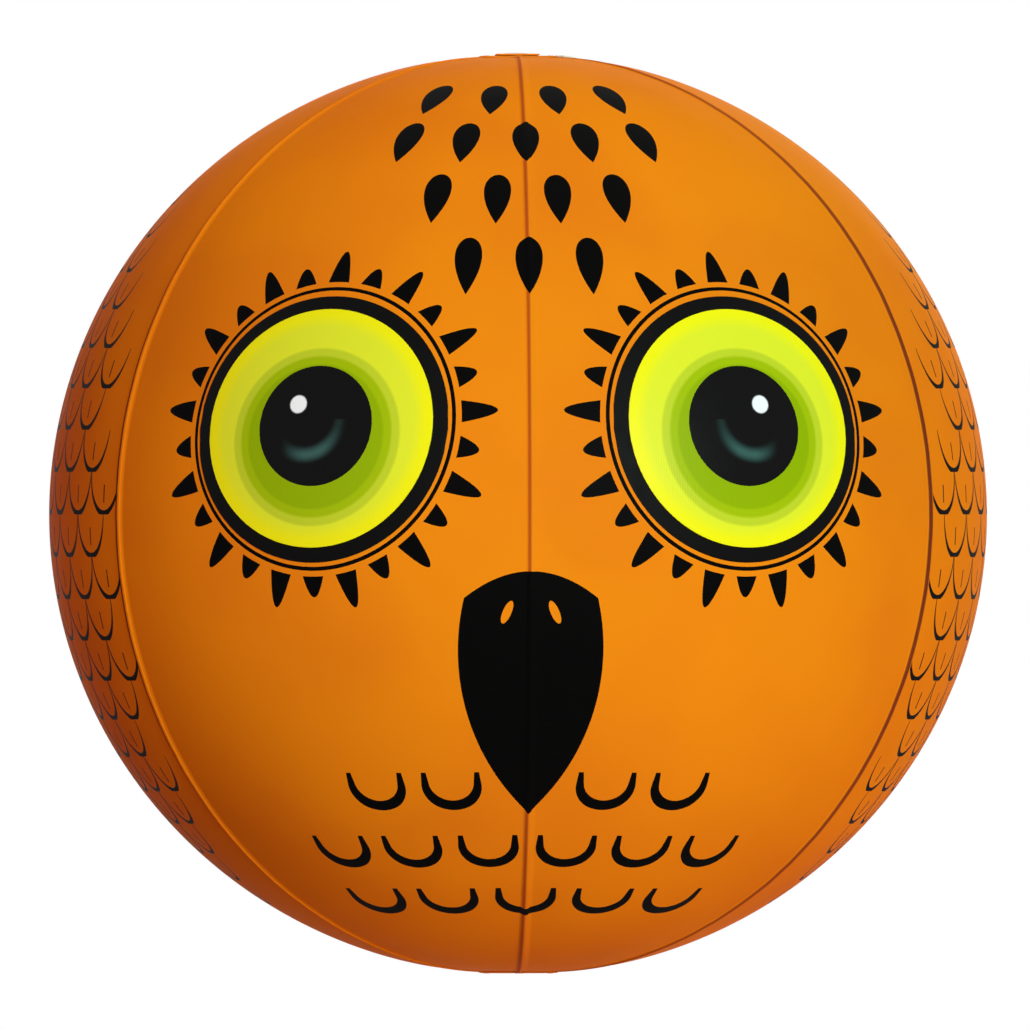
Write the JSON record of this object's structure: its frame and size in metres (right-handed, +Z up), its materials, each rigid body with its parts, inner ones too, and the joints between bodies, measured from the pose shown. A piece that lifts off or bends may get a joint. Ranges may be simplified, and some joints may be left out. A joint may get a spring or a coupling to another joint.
{
  "type": "inflatable bird scare balloon",
  "caption": "Inflated vinyl ball of lapped gores with two round lens eyes, a folding hang tab with an eyelet and a plugged inflation valve.",
  "frame": {"origin": "centre of the inflated ball", "axes": "+Z up through the crown patch, -Y the way the two eyes look, +X to the right as seen from the front"},
  "size_m": [0.61, 0.6074, 0.5991],
  "materials": {
    "vinyl": "soft gloss",
    "eye_print": "printed film",
    "eye_lens": "ribbed lens sheet",
    "valve_vinyl": "milky soft vinyl",
    "eyelet": "nickel plated"
  },
  "bodies": {
    "envelope": {"gore_front_right": "vinyl", "gore_side_right": "vinyl", "gore_back_right": "vinyl", "gore_back_left": "vinyl", "gore_side_left": "vinyl", "gore_front_left": "vinyl", "crown_patch": "vinyl", "base_patch": "vinyl", "eye_backing_left": "eye_print", "eye_backing_right": "eye_print", "eye_lens_left": "eye_lens", "eye_lens_right": "eye_lens", "hang_tab_base": "vinyl", "valve_flange": "valve_vinyl"},
    "hang_tab": {"hang_tab": "vinyl", "eyelet_barrel": "eyelet", "eyelet_washer": "eyelet"},
    "valve_stem": {"valve_stem": "valve_vinyl", "stopper_strap": "valve_vinyl"},
    "stopper": {"valve_stopper": "valve_vinyl"},
    "check_flap": {"valve_check_flap": "valve_vinyl"}
  },
  "joints": [
    {"name": "hang_tab_fold", "type": "hinge", "parent": "envelope", "child": "hang_tab", "pos_m": [0, 0.0074, 0.29975], "axis": [1, 0, 0], "range_deg": [0, 172]},
    {"name": "valve_pop_out", "type": "slide", "parent": "envelope", "child": "valve_stem", "axis": [0.1065, 0.1844, 0.9771], "range_m": [0, 0.0089]},
    {"name": "stopper_flip", "type": "hinge", "parent": "valve_stem", "child": "stopper", "pos_m": [0.03956, 0.06852, 0.29332], "axis": [-0.866, 0.5, 0], "range_deg": [0, 150]},
    {"name": "check_flap_swing", "type": "hinge", "parent": "valve_stem", "child": "check_flap", "pos_m": [0.02942, 0.05096, 0.28106], "axis": [-0.866, 0.5, 0], "range_deg": [0, 60]}
  ]
}
